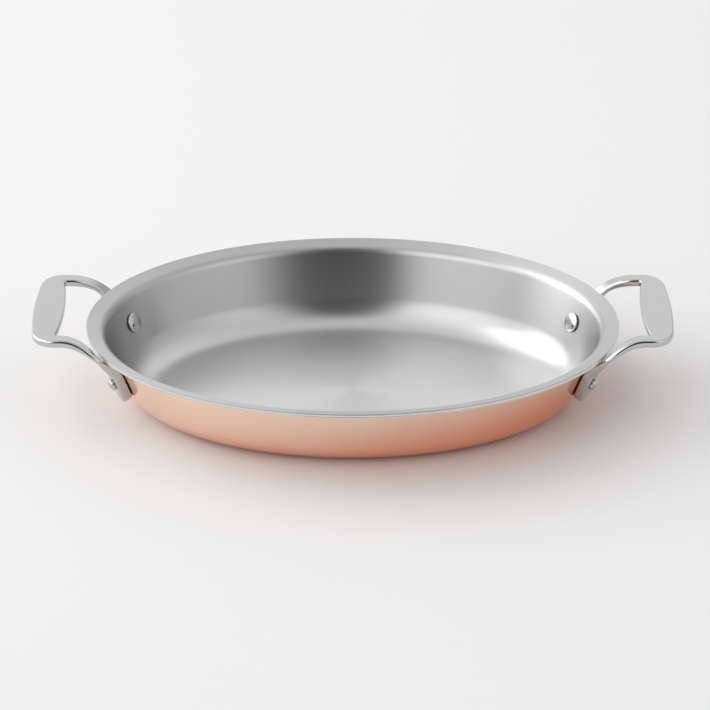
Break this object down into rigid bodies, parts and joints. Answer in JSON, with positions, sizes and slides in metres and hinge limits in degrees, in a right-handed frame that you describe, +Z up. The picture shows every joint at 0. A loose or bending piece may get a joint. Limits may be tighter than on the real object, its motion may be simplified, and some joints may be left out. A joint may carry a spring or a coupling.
{
  "type": "oval gratin pan",
  "caption": "Shallow oval gratin pan with a brushed steel inside, a copper outside, a flared lip and riveted loop handles of polished steel, for baking and serving.",
  "frame": {"origin": "middle of the flat underside, on the table", "axes": "+X along the dish through both handles, +Y across it to the back, +Z up"},
  "size_m": [0.395, 0.241, 0.06],
  "materials": {
    "brushed_steel": "brushed",
    "aluminium": "plain rolled",
    "copper": "polished copper",
    "polished_steel": "polished"
  },
  "bodies": {
    "root": {"steel_lining": "brushed_steel", "aluminium_core": "aluminium", "copper_jacket": "copper", "right_handle": "polished_steel", "left_handle": "polished_steel", "right_front_rivet": "polished_steel", "right_rear_rivet": "polished_steel", "left_front_rivet": "polished_steel", "left_rear_rivet": "polished_steel"}
  },
  "joints": []
}
